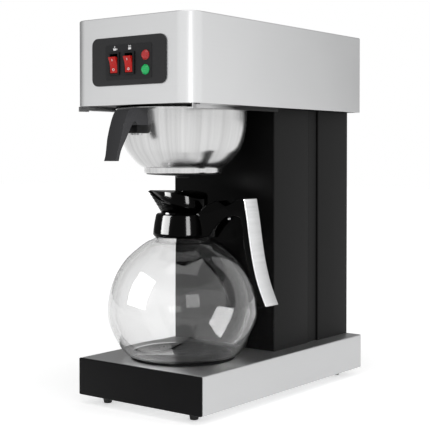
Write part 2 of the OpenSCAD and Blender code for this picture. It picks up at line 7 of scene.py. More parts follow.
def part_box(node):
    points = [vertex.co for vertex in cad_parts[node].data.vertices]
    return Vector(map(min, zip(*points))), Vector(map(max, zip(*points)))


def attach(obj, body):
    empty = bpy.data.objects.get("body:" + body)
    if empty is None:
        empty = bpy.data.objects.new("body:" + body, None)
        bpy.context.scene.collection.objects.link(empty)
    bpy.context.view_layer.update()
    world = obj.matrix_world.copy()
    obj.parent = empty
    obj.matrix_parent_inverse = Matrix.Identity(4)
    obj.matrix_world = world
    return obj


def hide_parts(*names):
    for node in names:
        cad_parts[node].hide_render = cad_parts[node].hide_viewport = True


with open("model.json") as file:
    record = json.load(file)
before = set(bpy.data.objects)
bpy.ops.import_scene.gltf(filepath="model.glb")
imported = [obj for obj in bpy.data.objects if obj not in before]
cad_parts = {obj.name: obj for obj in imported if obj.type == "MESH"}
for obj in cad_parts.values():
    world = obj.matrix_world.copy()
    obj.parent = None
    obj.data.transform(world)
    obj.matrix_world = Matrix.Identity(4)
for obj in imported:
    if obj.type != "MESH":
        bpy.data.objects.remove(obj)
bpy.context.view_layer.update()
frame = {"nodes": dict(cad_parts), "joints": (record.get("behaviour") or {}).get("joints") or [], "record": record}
nodes = frame["nodes"]

# ---- Base pan ----
# The pan is one sheet of brushed stainless steel, folded down on four sides and open below.
# A round hole in its top lets the heater touch the warmer plate, and one in its back takes the cord gland.
mm = 0.001
sheet = 1.2 * mm


def centre_of(node):
    """The middle of a CAD node's box."""
    low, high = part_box(node)
    return (low + high) / 2


def start():
    """Object mode, with nothing selected."""
    if bpy.context.object and bpy.context.object.mode != "OBJECT":
        bpy.ops.object.mode_set(mode="OBJECT")
    bpy.ops.object.select_all(action="DESELECT")


def only(piece):
    """The piece alone is selected and active."""
    start()
    piece.select_set(True)
    bpy.context.view_layer.objects.active = piece


def block(name, low, high):
    """A box between two corners, with its place in its mesh."""
    start()
    low, high = Vector(low), Vector(high)
    bpy.ops.mesh.primitive_cube_add(size=1, location=(low + high) / 2, scale=high - low)
    made = bpy.context.object
    made.name = name
    bpy.ops.object.transform_apply(location=True, rotation=True, scale=True)
    return made


def shape(piece, kind, **settings):
    """Applies one modifier to the piece."""
    only(piece)
    modifier = piece.modifiers.new(kind.lower(), kind)
    for name, value in settings.items():
        setattr(modifier, name, value)
    bpy.ops.object.modifier_apply(modifier=modifier.name)
    return piece


def minus(piece, *cutters, operation="DIFFERENCE"):
    """Cuts the cutters out of the piece, joins them or keeps the overlap, and removes them."""
    for cutter in cutters:
        shape(piece, "BOOLEAN", object=cutter, operation=operation, solver="EXACT")
        bpy.data.objects.remove(cutter)
    return piece


def edges(piece, wanted, width, steps=4):
    """Rounds the edges whose two ends both pass wanted(a, b)."""
    only(piece)
    mesh = piece.data
    bpy.ops.object.mode_set(mode="EDIT")
    bpy.ops.mesh.select_mode(type="EDGE")
    bpy.ops.mesh.select_all(action="DESELECT")
    bpy.ops.object.mode_set(mode="OBJECT")
    for edge in mesh.edges:
        edge.select = bool(wanted(*[mesh.vertices[i].co for i in edge.vertices]))
    bpy.ops.object.mode_set(mode="EDIT")
    bpy.ops.mesh.bevel(offset=width, segments=steps, affect="EDGES")
    bpy.ops.object.mode_set(mode="OBJECT")
    return piece


def open_side(piece, wanted):
    """Deletes the faces whose centre and normal pass wanted(centre, normal)."""
    only(piece)
    bpy.ops.object.mode_set(mode="EDIT")
    bpy.ops.mesh.select_mode(type="FACE")
    bpy.ops.mesh.select_all(action="DESELECT")
    bpy.ops.object.mode_set(mode="OBJECT")
    for face in piece.data.polygons:
        face.select = bool(wanted(face.center, face.normal))
    bpy.ops.object.mode_set(mode="EDIT")
    bpy.ops.mesh.delete(type="FACE")
    bpy.ops.object.mode_set(mode="OBJECT")
    return piece


def rod(centre, radius, low, high, along="Z", sides=48):
    """A round bar from low to high along an axis through centre, for cutting holes."""
    start()
    middle, turn = Vector(centre), (0, 0, 0)
    if along == "X":
        middle.x, turn = (low + high) / 2, (0, math.pi / 2, 0)
    elif along == "Y":
        middle.y, turn = (low + high) / 2, (math.pi / 2, 0, 0)
    else:
        middle.z = (low + high) / 2
    bpy.ops.mesh.primitive_cylinder_add(
        vertices=sides, radius=radius, depth=high - low, location=middle, rotation=turn)
    bpy.ops.object.transform_apply(location=True, rotation=True, scale=True)
    return bpy.context.object


class Wire:
    """An output in a material's nodes. Sums on wires add Math nodes, and node() adds any other node."""

    def __init__(self, tree, socket=None):
        self.tree, self.socket = tree, socket

    def node(self, kind, settings, sockets, out=0):
        made = self.tree.nodes.new("ShaderNode" + kind)
        for name, value in settings.items():
            if name == "stops":
                first, *rest = value
                made.color_ramp.elements[0].position = first[0]
                made.color_ramp.elements[1].position = rest[-1][0]
                for place, _ in rest[:-1]:
                    made.color_ramp.elements.new(place)
                for stop, (_, level) in zip(made.color_ramp.elements, value):
                    stop.color = (level, level, level, 1)
            else:
                setattr(made, name, value)
        for name, value in sockets.items():
            if isinstance(value, Wire):
                self.tree.links.new(value.socket, made.inputs[name])
            else:
                made.inputs[name].default_value = value
        return Wire(self.tree, made.outputs[out])

    def math(self, operation, *values):
        return self.node("Math", {"operation": operation}, dict(enumerate(values)))

    def __add__(self, other):
        return self.math("ADD", self, other)

    def __sub__(self, other):
        return self.math("SUBTRACT", self, other)

    def __rsub__(self, other):
        return self.math("SUBTRACT", other, self)

    def __mul__(self, other):
        return self.math("MULTIPLY", self, other)

    __radd__ = __add__
    __rmul__ = __mul__

    def spot(self, out=3):
        """Where a point lies on the object, in metres."""
        return self.node("TexCoord", {}, {}, out)

    def noise(self, scale, detail=2.0, rough=0.5):
        """Noise between 0 and 1, with its own scale along X, Y and Z."""
        place = self.node("Mapping", {}, {"Vector": self.spot(), "Scale": scale})
        return self.node("TexNoise", {}, {"Vector": place, "Scale": 1.0, "Detail": detail,
                                          "Roughness": rough})

    def tone(self, dark, light):
        """A colour between dark and light by this value."""
        return self.node("Mix", {"data_type": "RGBA", "clamp_factor": True},
                         {0: self, 6: (*dark, 1), 7: (*light, 1)}, 2)

    def feeds(self, *names):
        shader = self.tree.nodes["Principled BSDF"]
        for name in names:
            self.tree.links.new(self.socket, shader.inputs[name])

    def bumps(self, strength, distance):
        """Uses this value as a height on the surface."""
        self.node("Bump", {}, {"Height": self, "Strength": strength, "Distance": distance}).feeds("Normal")


def finish(name, colour, rough, metal=0.0, **constants):
    """A new material from plain values, and the wire that adds what varies over it."""
    made = bpy.data.materials.new(name)
    made.use_nodes = True
    sockets = made.node_tree.nodes["Principled BSDF"].inputs
    sockets["Base Color"].default_value = (*colour, 1)
    sockets["Roughness"].default_value = rough
    sockets["Metallic"].default_value = metal
    for key, value in constants.items():
        sockets[key.replace("_", " ")].default_value = value
    return made, Wire(made.node_tree)


def done(piece, material, body, slot, *replaced, angle=35):
    """Smooths a finished piece, gives it its material, and hangs it on its body."""
    only(piece)
    bpy.ops.object.shade_smooth_by_angle(angle=math.radians(angle))
    piece.data.materials.clear()
    piece.data.materials.append(material)
    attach(piece, body)
    if replaced:
        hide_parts(*replaced)
    return piece


def brushed(name, colour, rough, lines):
    """Sheet steel with fine straight brush lines and slight clouding."""
    made, wire = finish(name, colour, rough, 1.0)
    grain = wire.noise(lines, 3.0, 0.7)
    cloud = wire.noise((9, 9, 9), 2.0)
    shade = grain * 0.5 + cloud * 0.5
    shade.tone([c * 0.94 for c in colour], [c * 1.06 for c in colour]).feeds("Base Color")
    (shade * 0.16 + (rough - 0.08)).feeds("Roughness")
    grain.bumps(0.05, 0.00002)
    return made


axis = centre_of("warmer_plate")
brushed_steel = brushed("brushed_steel", (0.71, 0.714, 0.718), 0.34, (14, 14, 2200))
low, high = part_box("base_pan")
pan = block("base_pan_folded", low, high)
edges(pan, lambda a, b: abs(a.z - b.z) > 0.01, 2 * mm, 4)
edges(pan, lambda a, b: min(a.z, b.z) > high.z - 1e-5 and (a - b).length > 0, 1.5 * mm, 4)
open_side(pan, lambda c, n: n.z < -0.9)
shape(pan, "SOLIDIFY", thickness=sheet, offset=-1)
heater_r = 50 * mm
gland_r = 7 * mm
minus(pan, rod((axis.x, axis.y, 0), heater_r, high.z - 5 * mm, high.z + 5 * mm, sides=96),
      rod(centre_of("cord_gland"), gland_r, high.y - 5 * mm, high.y + 5 * mm, "Y"))
# The base pan's steel is a darker copy of the head's brushed steel: painted shade.
base_steel_painted_shade = brushed("base_steel_painted_shade", (0.56, 0.563, 0.567), 0.36, (14, 14, 2200))
done(pan, base_steel_painted_shade, "machine", "brushed_steel", "base_pan")

# ---- Base front plate ----
# A black enamelled steel block closes the front of the base. It is screwed on from inside the pan,
# and all its edges are eased.
black_panel, wire = finish("black_enamel", (0.004, 0.004, 0.0042), 0.4, Specular_IOR_Level=0.07)
haze = wire.noise((30, 30, 30), 3.0)
haze.tone((0.0035, 0.0035, 0.0037), (0.0055, 0.0055, 0.006)).feeds("Base Color")
(haze * 0.12 + 0.32).feeds("Roughness")
wire.noise((900, 900, 900), 2.0).bumps(0.08, 0.00003)
low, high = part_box("base_front_plate")
plate = block("base_front_face", low, high)
shape(plate, "BEVEL", width=1.1 * mm, segments=4, limit_method="ANGLE")
done(plate, black_panel, "machine", "black_gloss_panel", "base_front_plate")

# ---- Feet ----
# Four round rubber feet, moulded with a soft lower edge and a groove under the flange,
# and screwed up into the bottom plate.


def draw(name, points, more=False):
    """A chain of edges through the points. It stays in edit mode, all selected."""
    if not more:
        start()
    bpy.ops.mesh.primitive_plane_add(size=0.1 * mm, location=(0, 0, 0))
    line = bpy.context.object
    if not more:
        line.name = name
        bpy.ops.object.mode_set(mode="EDIT")
        bpy.ops.mesh.select_mode(type="VERT")
    bpy.ops.mesh.merge(type="CENTER")
    bpy.ops.transform.translate(value=points[0])
    for a, b in zip(points, points[1:]):
        bpy.ops.mesh.extrude_region_move(TRANSFORM_OT_translate={"value": Vector(b) - Vector(a)})
    bpy.ops.mesh.select_all(action="SELECT")
    return line


def outward():
    """Ends an edit: merges doubles, points the faces out and goes back to object mode."""
    bpy.ops.mesh.select_all(action="SELECT")
    bpy.ops.mesh.remove_doubles(threshold=1e-6)
    bpy.ops.mesh.normals_make_consistent(inside=False)
    bpy.ops.object.mode_set(mode="OBJECT")


def turned(name, outline, centre=None, steps=96):
    """A shape spun on the upright line through centre, from radii and heights in millimetres."""
    centre = axis if centre is None else centre
    points = [(centre[0] + r * mm, centre[1], z * mm) for r, z in outline]
    made = draw(name, points)
    bpy.ops.mesh.spin(steps=steps, angle=2 * math.pi, center=(centre[0], centre[1], 0), axis=(0, 0, 1))
    outward()
    return made


def through(marks, steps):
    """A smooth curve through the marks, with some steps between two of them."""
    points = []
    for i in range(len(marks) - 1):
        a, b = marks[max(i - 1, 0)], marks[i]
        c, d = marks[i + 1], marks[min(i + 2, len(marks) - 1)]
        for k in range(steps):
            t = k / steps
            points.append(tuple(
                0.5 * (2 * q + (r - p) * t + (2 * p - 5 * q + 4 * r - s) * t * t +
                       (3 * q - p - 3 * r + s) * t ** 3)
                for p, q, r, s in zip(a, b, c, d)))
    return points + [tuple(marks[-1])]


rubber, wire = finish("foot_rubber", (0.012, 0.012, 0.012), 0.7, Specular_IOR_Level=0.3)
fleck = wire.noise((500, 500, 500), 3.0)
(fleck * 0.2 + 0.6).feeds("Roughness")
fleck.bumps(0.3, 0.0001)
low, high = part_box("feet")
foot_r = 6.5
foot_h = 10
first = None
foot_outline = [(0, 0)] + through([(foot_r - 2.8, 0), (foot_r - 2, 0.5), (foot_r - 1.7, 1.6)], 4) + \
    [(foot_r - 1, 6.4), (foot_r - 1.4, 7), (foot_r - 1.4, 7.6)] + \
    through([(foot_r - 0.4, 8), (foot_r, 8.6), (foot_r, foot_h)], 3) + [(0, foot_h)]
for number, x in enumerate((low.x + foot_r * mm, high.x - foot_r * mm)):
    for place, y in (("front", low.y + foot_r * mm), ("rear", high.y - foot_r * mm)):
        if first is None:
            first = turned("foot_front_left", foot_outline, (x, y), 48)
            foot, first_place = first, (x, y)
        else:
            foot = first.copy()
            foot.data = first.data.copy()
            bpy.context.collection.objects.link(foot)
            foot.data.transform(Matrix.Translation((x - first_place[0], y - first_place[1], 0)))
            foot.name = "foot_" + place + ("_left", "_right")[number]
        foot.parent = None
        foot.matrix_world = Matrix.Identity(4)
        done(foot, rubber, "machine", "foot_rubber", "feet")

# ---- Warmer plate ----
# A pressed steel hotplate with a black non-stick coating. Its rim is rolled down onto the pan,
# and a shallow ring keeps the decanter in the middle.
coating, wire = finish("warmer_coating", (0.005, 0.005, 0.0055), 0.4, Specular_IOR_Level=0.06)
speck = wire.noise((700, 700, 700), 4.0)
wear = wire.noise((24, 24, 24), 3.0)
wear.tone((0.005, 0.005, 0.0055), (0.012, 0.012, 0.0125)).feeds("Base Color")
(wear * 0.2 + 0.28).feeds("Roughness")
speck.bumps(0.25, 0.00006)
low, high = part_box("warmer_plate")
rim = (high.x - low.x) / 2 / mm
flat = high.z / mm
plate_t = 2.5
outline = [(0, flat - plate_t), (rim, flat - plate_t)] + \
    through([(rim, flat - 1.2), (rim - 0.5, flat - 0.3), (rim - 2, flat)], 3) + \
    through([(53, flat), (51.5, flat - 0.5), (50, flat - 0.6)], 3) + [(0, flat - 0.6)]
plate = turned("warmer_plate_pressed", outline, steps=128)
done(plate, coating, "machine", "warmer_coating", "warmer_plate")

# ---- Column covers ----
# Two folded sheets in black powder coat stand back to back on the pan: the front one wraps the water boiler,
# the rear one closes it. Between them a recessed strip leaves a groove down each side.
column_paint, wire = finish("powder_coat", (0.006, 0.006, 0.006), 0.5, Specular_IOR_Level=0.03)
pebble = wire.noise((650, 650, 650), 2.0)
cloud = wire.noise((7, 7, 7), 2.0)
# The colour is lighter on the two sides than on the front and back faces: painted shade, with a little random
# clouding.
front_painted_shade = wire.node("SeparateXYZ", {}, {"Vector": wire.spot(1)})
front_painted_shade = front_painted_shade.math("ABSOLUTE", front_painted_shade)
(front_painted_shade * 0.9 + cloud * 0.1).tone((0.0018, 0.0018, 0.0018), (0.019, 0.019, 0.019)).feeds("Base Color")
(cloud * 0.1 + 0.38).feeds("Roughness")
pebble.bumps(0.12, 0.00005)


def bent_sheet(name, path, low_z, high_z, fold=1.6 * mm):
    """A sheet folded along a path of (x, y) marks and standing from low_z to high_z."""
    made = draw(name, [(x, y, low_z) for x, y in path])
    bpy.ops.mesh.extrude_region_move(TRANSFORM_OT_translate={"value": (0, 0, high_z - low_z)})
    bpy.ops.object.mode_set(mode="OBJECT")
    ends = [Vector(path[0]), Vector(path[-1])]
    edges(made, lambda a, b: (a - b).to_2d().length < 1e-6 and
          all((a.to_2d() - end).length > 1e-5 for end in ends), fold, 4)
    return made


low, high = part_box("column_front_cover")
lip = 6 * mm
path = [(low.x + lip, high.y), (low.x, high.y), (low.x, low.y),
        (high.x, low.y), (high.x, high.y), (high.x - lip, high.y)]
folded = bent_sheet("column_front_folded", path, low.z, high.z)
shape(folded, "SOLIDIFY", thickness=sheet, offset=-1)
done(folded, column_paint, "machine", "black_paint", "column_front_cover")
low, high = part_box("column_rear_cover")
path = [(low.x + lip, low.y), (low.x, low.y), (low.x, high.y),
        (high.x, high.y), (high.x, low.y), (high.x - lip, low.y)]
folded = bent_sheet("column_rear_folded", path, low.z, high.z)
shape(folded, "SOLIDIFY", thickness=sheet, offset=1)
done(folded, column_paint, "machine", "black_paint", "column_rear_cover")

# ---- Head housing ----
# The head is one deep-drawn and folded cover of brushed stainless steel with two round front corners.
# It hangs over the bay, and its top is cut out for the fill basin, its front for switches and lamps.
low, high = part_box("head_housing")
corner = 20 * mm
head = block("head_housing_folded", low, high)
edges(head, lambda a, b: abs(a.z - b.z) > 0.01 and max(a.y, b.y) < low.y + mm, corner, 18)
edges(head, lambda a, b: abs(a.z - b.z) > 0.01 and min(a.y, b.y) > high.y - mm, 1.6 * mm, 3)
edges(head, lambda a, b: min(a.z, b.z) > high.z - 1e-5, 1.4 * mm, 4)
open_side(head, lambda c, n: n.z < -0.9)
shape(head, "SOLIDIFY", thickness=sheet, offset=-1, use_even_offset=True)
basin_low, basin_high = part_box("fill_basin")
hole = block("hole", (basin_low.x + 4 * mm, basin_low.y + 4 * mm, high.z - 5 * mm),
             (basin_high.x - 4 * mm, basin_high.y - 4 * mm, high.z + 5 * mm))
edges(hole, lambda a, b: abs(a.z - b.z) > 0.005, 4 * mm, 4)
switches = [centre_of(name) for name in ("rocker_brew", "rocker_warm")]
lamps = [centre_of(name) for name in ("lamp_red", "lamp_green")]
switch_z = centre_of("switch_bodies").z
hole_x = 7 * mm
hole_z = 11.6 * mm
lamp_r = 4


def panel_cutters(front, back):
    """Bars for the two switch openings and the two lamp holes."""
    bars = [block("bar", (s.x - hole_x, front, switch_z - hole_z), (s.x + hole_x, back, switch_z + hole_z))
            for s in switches]
    return bars + [rod(lamp, lamp_r * mm, front, back, "Y") for lamp in lamps]


minus(head, hole, *panel_cutters(low.y - 5 * mm, low.y + 5 * mm))
done(head, brushed_steel, "machine", "brushed_steel", "head_housing", angle=25)

# ---- Control panel ----
# A moulded black plate with round corners lies on the front of the head, with a thin raised inlay
# around the switches. Both are clipped on through the switch openings.
panel_black, wire = finish("panel_black", (0.02, 0.02, 0.021), 0.45, Specular_IOR_Level=0.2)
mould = wire.noise((420, 420, 420), 3.0)
mould.tone((0.017, 0.017, 0.018), (0.024, 0.024, 0.025)).feeds("Base Color")
(mould * 0.15 + 0.38).feeds("Roughness")
mould.bumps(0.15, 0.00005)


def round_plate(name, low, high, radius, ease):
    """A plate that stands facing the front, with round corners and an eased front edge."""
    made = block(name, low, high)
    edges(made, lambda a, b: abs(a.y - b.y) > 0.1 * mm, radius, 10)
    edges(made, lambda a, b: max(a.y, b.y) < low.y + 0.01 * mm, ease, 3)
    return made


low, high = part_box("panel_plate")
plate = round_plate("panel_moulded", low, high, 8 * mm, 0.8 * mm)
minus(plate, *panel_cutters(low.y - 5 * mm, high.y + 5 * mm))
done(plate, panel_black, "machine", "panel_black", "panel_plate")
low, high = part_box("panel_inlay")
inlay = round_plate("panel_inlay_raised", low, high, 2 * mm, 0.25 * mm)
minus(inlay, *panel_cutters(low.y - 5 * mm, high.y + 5 * mm))
inlay_black, wire = finish("inlay_black", (0.013, 0.013, 0.014), 0.5, Specular_IOR_Level=0.2)
wire.noise((600, 600, 600), 3.0).bumps(0.2, 0.00005)
done(inlay, inlay_black, "machine", "panel_black", "panel_inlay")
inlay_front = low.y

# ---- Panel marks ----
# Two small pictograms, a brewing drop and a warm cup, are printed in white above the switches.
print_white, wire = finish("white_print", (0.75, 0.75, 0.75), 0.55)
wire.noise((900, 900, 900), 2.0).tone((0.6, 0.6, 0.6), (0.82, 0.82, 0.82)).feeds("Base Color")
nodes["panel_marks"].data.materials.clear()
nodes["panel_marks"].data.materials.append(print_white)

# ---- Switches ----
# Each switch is a black moulded body snapped into the panel, with a bezel around a red rocker.
# The rocker has a scooped face, turns on its own stub axle, and bears a printed line and ring.
black_plastic, wire = finish("black_plastic", (0.006, 0.006, 0.0065), 0.3, Specular_IOR_Level=0.16)
mould = wire.noise((260, 260, 260), 3.0)
mould.tone((0.0065, 0.0065, 0.007), (0.0095, 0.0095, 0.010)).feeds("Base Color")
(mould * 0.14 + 0.30).feeds("Roughness")
mould.bumps(0.1, 0.00005)
rocker_red, wire = finish("rocker_red", (0.42, 0.008, 0.006), 0.34, Specular_IOR_Level=0.2)
cloud = wire.noise((300, 300, 300), 2.0)
cloud.tone((0.34, 0.006, 0.004), (0.46, 0.012, 0.009)).feeds("Base Color")
(cloud * 0.1 + 0.2).feeds("Roughness")
body_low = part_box("switch_bodies")[0]
pivots = {joint["child"]: Vector(joint["pos_m"]) for joint in frame["joints"] if "pos_m" in joint}


def cut(name, outline, across, low, high):
    """A closed outline in millimetres, drawn on the plane across X, Y or Z and extruded from low to high."""
    places = {"X": lambda u, v: (low, u * mm, v * mm), "Y": lambda u, v: (u * mm, low, v * mm),
              "Z": lambda u, v: (u * mm, v * mm, low)}
    move = {"X": (high - low, 0, 0), "Y": (0, high - low, 0), "Z": (0, 0, high - low)}
    made = draw(name, [places[across](u, v) for u, v in outline])
    bpy.ops.mesh.edge_face_add()
    bpy.ops.mesh.extrude_region_move(TRANSFORM_OT_translate={"value": move[across]})
    outward()
    return made


def eased(piece, width, angle, steps=3):
    """Rounds every edge that is sharper than the angle, in degrees."""
    return shape(piece, "BEVEL", width=width, segments=steps, limit_method="ANGLE",
                 angle_limit=math.radians(angle))


bezel_x, bezel_z = 7.6 * mm, 12.4 * mm
well_x, well_z = 5.5 * mm, 10.6 * mm
rocker_x = 5.1 * mm
rocker_tilt = math.radians(12)
ring_lean = math.radians(80)


def switch(name, rocker_node):
    """One switch body with its rocker, which is its own body of the same name as its node."""
    pivot = pivots[rocker_node]
    x, z = pivot.x, pivot.z
    bezel = block(name + "_body", (x - bezel_x, body_low.y, z - bezel_z),
                  (x + bezel_x, inlay_front, z + bezel_z))
    edges(bezel, lambda a, b: abs(a.y - b.y) > 0.5 * mm, 1.2 * mm, 4)
    edges(bezel, lambda a, b: max(a.y, b.y) < body_low.y + 0.01 * mm, 0.7 * mm, 3)
    neck = block("neck", (x - hole_x, inlay_front - 0.5 * mm, z - hole_z),
                 (x + hole_x, inlay_front + 20 * mm, z + hole_z))
    minus(bezel, neck, operation="UNION")
    well = block("well", (x - well_x, body_low.y - mm, z - well_z),
                 (x + well_x, inlay_front + 15 * mm, z + well_z))
    minus(bezel, well, rod(pivot, 1.55 * mm, x - 6.3 * mm, x + 6.3 * mm, "X"))
    done(bezel, black_plastic, "machine", "black_plastic")
    face = through([(-7.6, 8.6), (-6.7, 4.2), (-6.3, 0), (-6.7, -4.2), (-7.6, -8.6)], 4)
    back = through([(1, -6.5), (2.6, -3.4), (3, 0), (2.6, 3.4), (1, 6.5)], 2)
    side = [(pivot.y / mm + y, z / mm + h) for y, h in face + [(-6.6, -9)] + back + [(-6.6, 9)]]
    rocker = cut(name + "_rocker", side, "X", x - rocker_x, x + rocker_x)
    eased(rocker, 0.45 * mm, 40)
    minus(rocker, rod(pivot, 1.5 * mm, x - 6.2 * mm, x + 6.2 * mm, "X"), operation="UNION")
    tilt = Matrix.Translation(pivot) @ Matrix.Rotation(rocker_tilt, 4, "X") @ Matrix.Translation(-pivot)
    rocker.data.transform(tilt)
    done(rocker, rocker_red, rocker_node, "rocker_red", rocker_node)
    line = block(name + "_on_line", (x - 0.35 * mm, pivot.y - 7.15 * mm, z + 4.2 * mm),
                 (x + 0.35 * mm, pivot.y - 6.5 * mm, z + 6.6 * mm))
    shape(line, "BEVEL", width=0.15 * mm, segments=2)
    line.data.transform(tilt)
    done(line, print_white, rocker_node, "white_mark")
    bpy.ops.object.select_all(action="DESELECT")
    bpy.ops.mesh.primitive_torus_add(
        major_radius=1.2 * mm, minor_radius=0.28 * mm, major_segments=24, minor_segments=8,
        location=(x, pivot.y - 6.95 * mm, z - 5.2 * mm), rotation=(ring_lean, 0, 0))
    ring = bpy.context.object
    ring.name = name + "_off_ring"
    bpy.ops.object.transform_apply(location=True, rotation=True, scale=True)
    ring.data.transform(tilt)
    done(ring, print_white, rocker_node, "white_mark")
    return bezel


bezels = [switch("brew_switch", "rocker_brew"), switch("warmer_switch", "rocker_warm")]
for bezel in bezels:
    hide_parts("switch_bodies")

# ---- Lamps ----
# Two neon lamps: a red and a green lens, each a small polished dome on a round collar,
# pushed into the panel from the front.


def lens(name, node, colour):
    """A domed lens turned about the lamp's own axis, from its rear end 15 mm behind the inlay."""
    middle = centre_of(node)
    dome = through([(4.9, 16.4), (4.4, 17.1), (3.4, 18.2), (1.8, 18.9), (0, 19.04)], 4)
    outline = [(0, 0), (lamp_r, 0), (lamp_r, 14.9), (5.4, 15), (5.4, 15.9)] + dome
    made = turned(name, outline, (0, 0), 48)
    place = Matrix.Translation((middle.x, inlay_front + 15 * mm, middle.z))
    made.data.transform(place @ Matrix.Rotation(math.radians(90), 4, "X"))
    paint, wire = finish(node, colour, 0.16, Specular_IOR_Level=0.5, Emission_Strength=0.05)
    prism = wire.noise((900, 900, 900), 2.0)
    prism.tone([c * 0.75 for c in colour], [c * 1.2 for c in colour]).feeds("Base Color", "Emission Color")
    prism.bumps(0.25, 0.0001)
    return done(made, paint, "machine", node, node)


lens("lamp_red_lens", "lamp_red", (0.36, 0.008, 0.01))
lens("lamp_green_lens", "lamp_green", (0.0, 0.36, 0.09))

# ---- Fill lid ----
# A flat steel lid covers the fill opening. Its four edges are folded, its front edge turns up
# into a finger grip, and its two rear knuckles turn on the hinge pin.
low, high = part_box("fill_lid")
pin = pivots["fill_lid"]
lid_x = 50 * mm
mid_x = (low.x + high.x) / 2
lid = block("fill_lid_folded", (mid_x - lid_x, low.y, low.z),
            (mid_x + lid_x, pin.y - 3.4 * mm, low.z + 1.6 * mm))
edges(lid, lambda a, b: abs(a.z - b.z) > mm, 3 * mm, 5)
tab_y, tab_z, tab_top = low.y / mm, low.z / mm, high.z / mm
tab = [(tab_y, tab_z), (tab_y, tab_top - 0.1)] + \
    through([(tab_y + 0.3, tab_top), (tab_y + 1.2, tab_top - 0.3), (tab_y + 1.5, tab_z + 2.4),
             (tab_y + 4, tab_z + 1.2)], 3) + [(tab_y + 4, tab_z)]
minus(lid, cut("tab", tab, "X", mid_x - 16 * mm, mid_x + 16 * mm), operation="UNION")
knuckle = 9.5 * mm
for way in (-1, 1):
    x = mid_x + way * 21.5 * mm
    arm = block("arm", (x - knuckle, pin.y - 4 * mm, low.z + 0.2 * mm),
                (x + knuckle, pin.y, low.z + 1.6 * mm))
    minus(lid, arm, rod(pin, 2.2 * mm, x - knuckle, x + knuckle, "X", 32), operation="UNION")
minus(lid, rod(pin, 1.26 * mm, mid_x - 40 * mm, mid_x + 40 * mm, "X", 32))
eased(lid, 0.25 * mm, 50, 2)
lid_steel = brushed("lid_steel", (0.76, 0.765, 0.77), 0.32, (9, 1900, 9))
done(lid, lid_steel, "fill_lid", "brushed_steel", "fill_lid")

# ---- Basket bowl ----
# A brew basket spun from one disc of stainless steel: a flat rim flange that rides in the rails,
# a deep round bowl and a drawn bottom ring. The spinning leaves fine rings. The upright streaks and broad light
# and dark bands in its colour are painted reflection, with some spinning marks in the streaks.
bay_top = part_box("basket_rails")[1].z / mm
bowl_steel, wire = finish("spun_steel", (0.74, 0.745, 0.75), 0.24, 1.0)
about = wire.node("Mapping", {}, {"Vector": wire.spot(), "Location": (-axis.x, -axis.y, 0)})
split = [wire.node("SeparateXYZ", {}, {"Vector": about}, k) for k in range(3)]
turn = split[1].math("ARCTAN2", split[1], split[0])
round_x, round_y = turn.math("COSINE", turn), turn.math("SINE", turn)
ray = wire.node("CombineXYZ", {}, {0: round_x * 9, 1: round_y * 9, 2: split[2] * 3})
spin_marks_and_reflection = wire.node("TexNoise", {}, {"Vector": ray, "Scale": 1.2, "Detail": 5.0, "Roughness": 0.6})
slow = wire.node("CombineXYZ", {}, {0: round_x * 2.2, 1: round_y * 2.2, 2: split[2] * 1.5})
painted_reflection_bands = wire.node("TexNoise", {}, {"Vector": slow, "Scale": 1.0, "Detail": 2.0, "Roughness": 0.5})
# The base colour's broad bands are painted reflection; its upright streaks are painted reflection with some
# spinning marks.
((painted_reflection_bands * 0.5 + spin_marks_and_reflection * 0.5) * 0.7 + 0.2).feeds("Base Color")
rings = wire.node("TexNoise", {"noise_dimensions": "1D"}, {"W": split[2], "Scale": 2600.0, "Detail": 3.0})
(rings * 0.12 + 0.16).feeds("Roughness")
rings.bumps(0.06, 0.00003)
low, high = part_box("basket_bowl")
rim_z = high.z / mm
band_z = low.z / mm
rim_r = (high.x - low.x) / 2 / mm
band_r = 44.5
bowl_wall = through([(73.6, bay_top - 4), (73.1, bay_top - 18), (70.6, bay_top - 34), (66.2, bay_top - 47),
                     (60.5, bay_top - 55), (53.5, bay_top - 63), (48, bay_top - 67.4)], 5)
bowl_ring = through([(46.6, bay_top - 68.3), (45, bay_top - 68.9), (band_r, bay_top - 69.8)], 3)
bowl_foot = through([(band_r, band_z + 1.6), (44, band_z + 0.5), (42.8, band_z)], 3)
flange = [(rim_r - 0.3, rim_z), (rim_r, rim_z - 0.3), (rim_r, rim_z - 0.9), (rim_r - 0.3, rim_z - 1.2),
          (74.6, rim_z - 1.2)]
inner_wall = [(4, band_z + 1), (42.6, band_z + 1), (band_r - 1, band_z + 2.2), (band_r - 1, bay_top - 69.2),
              (46.2, bay_top - 67.5)] + [(r - 1, z + 0.3) for r, z in reversed(bowl_wall)] + [(73, rim_z)]
outline = flange + bowl_wall + bowl_ring + bowl_foot + [(4, band_z)] + inner_wall + flange[:1]
bowl = turned("basket_bowl_spun", outline, steps=128)
done(bowl, bowl_steel, "brew_basket", "bowl_steel", "basket_bowl")

# ---- Basket base ----
# A black moulded disc closes the bottom of the basket and guides the coffee to one short nozzle.
low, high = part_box("basket_base")
top = high.z / mm
tip = low.z / mm
outline = [(4, top), (42, top)] + \
    through([(42, top - 0.3), (40, top - 1.4), (22, top - 2.6), (10, top - 3.1)], 3) + \
    through([(8.2, top - 3.4), (7.6, top - 4.2), (7.4, tip)], 3) + [(4, tip), (4, top)]
base = turned("basket_base_moulded", outline)
done(base, black_plastic, "brew_basket", "black_plastic", "basket_base")

